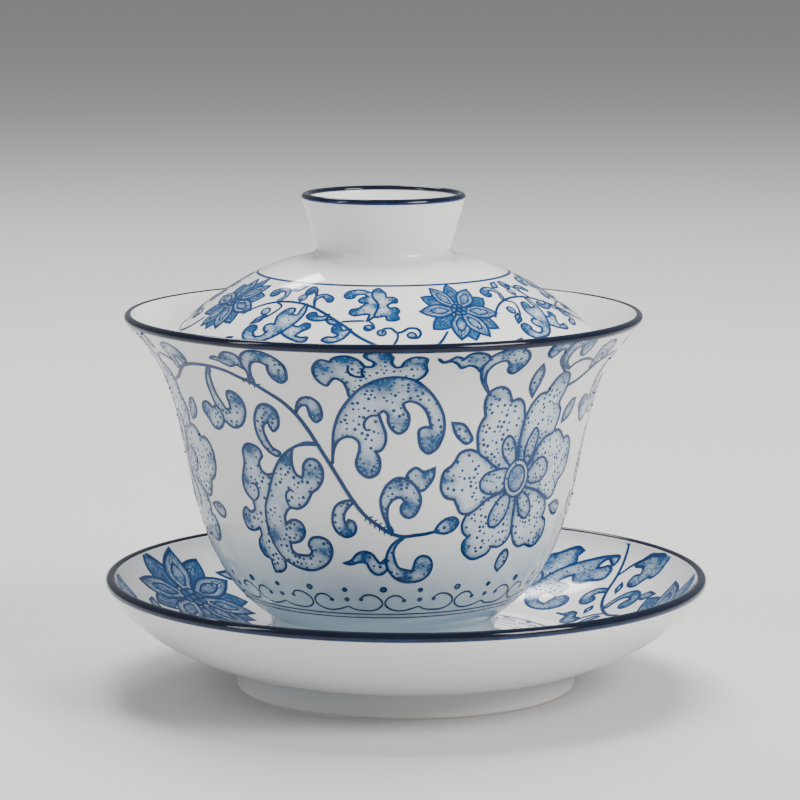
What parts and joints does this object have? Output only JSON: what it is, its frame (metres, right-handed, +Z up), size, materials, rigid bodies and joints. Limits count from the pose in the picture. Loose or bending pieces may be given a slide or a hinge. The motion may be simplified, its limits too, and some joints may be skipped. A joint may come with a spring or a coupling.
{
  "type": "gaiwan",
  "caption": "Lidded porcelain tea bowl on a saucer, with a flared bowl, a domed lid with a hollow knob, and blue painted lotus scrolls.",
  "frame": {"origin": "middle of the saucer's foot ring, on the table", "axes": "+Z up, +X to the right seen from the front; the bowl stands a few millimetres off the saucer's middle, towards -X"},
  "size_m": [0.115, 0.115, 0.0944],
  "materials": {
    "porcelain": "glossy",
    "underglaze_blue": "glossy",
    "blue_wash": "glossy",
    "rim_line": "glossy",
    "bare_foot": "matte"
  },
  "bodies": {
    "saucer": {"saucer": "porcelain"},
    "bowl": {"bowl": "porcelain"},
    "lid": {"lid": "porcelain"}
  },
  "joints": [
    {"name": "bowl_lift", "type": "slide", "parent": "saucer", "child": "bowl", "axis": [0, 0, 1], "range_m": [0, 0.045]},
    {"name": "lid_lift", "type": "slide", "parent": "bowl", "child": "lid", "axis": [0, 0, 1], "range_m": [0, 0.04]}
  ]
}
